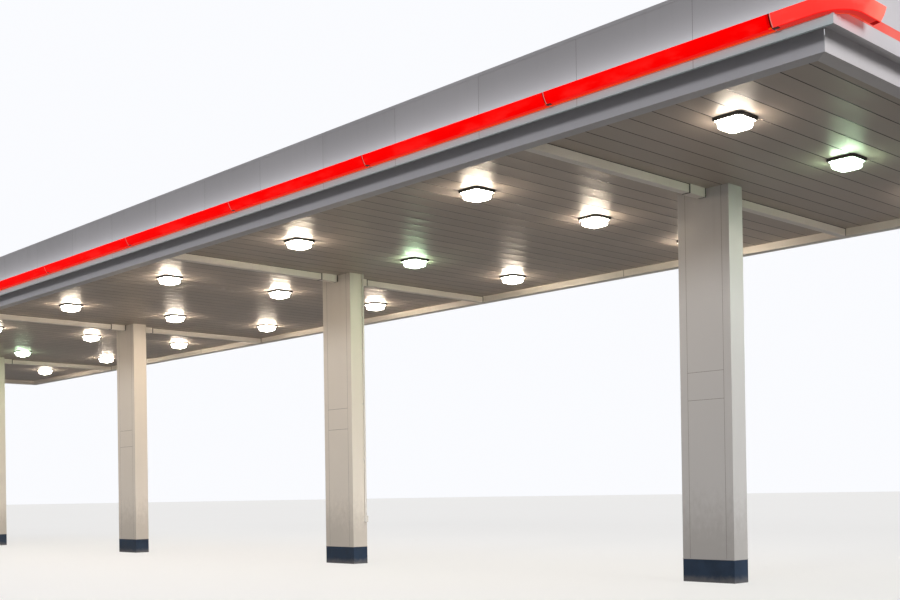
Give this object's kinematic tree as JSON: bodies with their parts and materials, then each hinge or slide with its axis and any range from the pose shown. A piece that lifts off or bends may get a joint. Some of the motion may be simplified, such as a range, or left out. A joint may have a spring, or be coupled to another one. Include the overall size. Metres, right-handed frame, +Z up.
{
  "type": "filling station canopy",
  "caption": "Flat filling station canopy on one row of clad columns, with a deep fascia, ribbed deck, box gutters, square drop lamps and a light bar along the front.",
  "frame": {"origin": "centre of the canopy's plan, on the ground under the column row", "axes": "+X along the row to the right end seen from the front, +Y from the front with the light bar to the rear, +Z up"},
  "size_m": [33.964, 7.8713, 5.96],
  "materials": {
    "base_wrap": "satin",
    "cladding": "satin",
    "frame_steel": "matte",
    "gutter_sheet": "satin",
    "purlin_steel": "matte",
    "deck_sheet": "satin",
    "lamp_housing": "satin",
    "lamp_lens": "gloss",
    "frame_galvanised": "matte",
    "fascia_sheet": "satin",
    "bar_cover": "gloss",
    "stripe_film": "satin",
    "conduit_paint": "satin"
  },
  "bodies": {
    "root": {"column_base_1": "base_wrap", "column_base_2": "base_wrap", "column_base_3": "base_wrap", "column_base_4": "base_wrap", "column_cladding_1": "cladding", "column_cladding_2": "cladding", "column_cladding_3": "cladding", "column_cladding_4": "cladding", "steel_frame_1": "frame_steel", "steel_frame_2": "frame_steel", "steel_frame_3": "frame_steel", "steel_frame_4": "frame_steel", "cross_gutter_1": "gutter_sheet", "cross_gutter_2": "gutter_sheet", "cross_gutter_3": "gutter_sheet", "cross_gutter_4": "gutter_sheet", "purlins_front": "purlin_steel", "purlins_rear": "purlin_steel", "deck_bay_1": "deck_sheet", "deck_bay_2": "deck_sheet", "deck_bay_3": "deck_sheet", "deck_bay_4": "deck_sheet", "deck_bay_5": "deck_sheet", "lamp_row_1": "lamp_housing", "lamp_row_2": "lamp_housing", "lamp_row_3": "lamp_housing", "lamp_row_4": "lamp_housing", "lamp_row_5": "lamp_housing", "lamp_row_6": "lamp_housing", "lamp_row_7": "lamp_housing", "lamp_row_8": "lamp_housing", "gutter_front": "gutter_sheet", "gutter_right": "gutter_sheet", "gutter_rear": "gutter_sheet", "gutter_left": "gutter_sheet", "fascia_frame_front": "frame_galvanised", "fascia_frame_right": "frame_galvanised", "fascia_frame_rear": "frame_galvanised", "fascia_frame_left": "frame_galvanised", "fascia_front": "fascia_sheet", "fascia_right": "fascia_sheet", "fascia_rear": "fascia_sheet", "fascia_left": "fascia_sheet", "light_bar": "bar_cover", "service_conduit": "conduit_paint"}
  },
  "joints": []
}
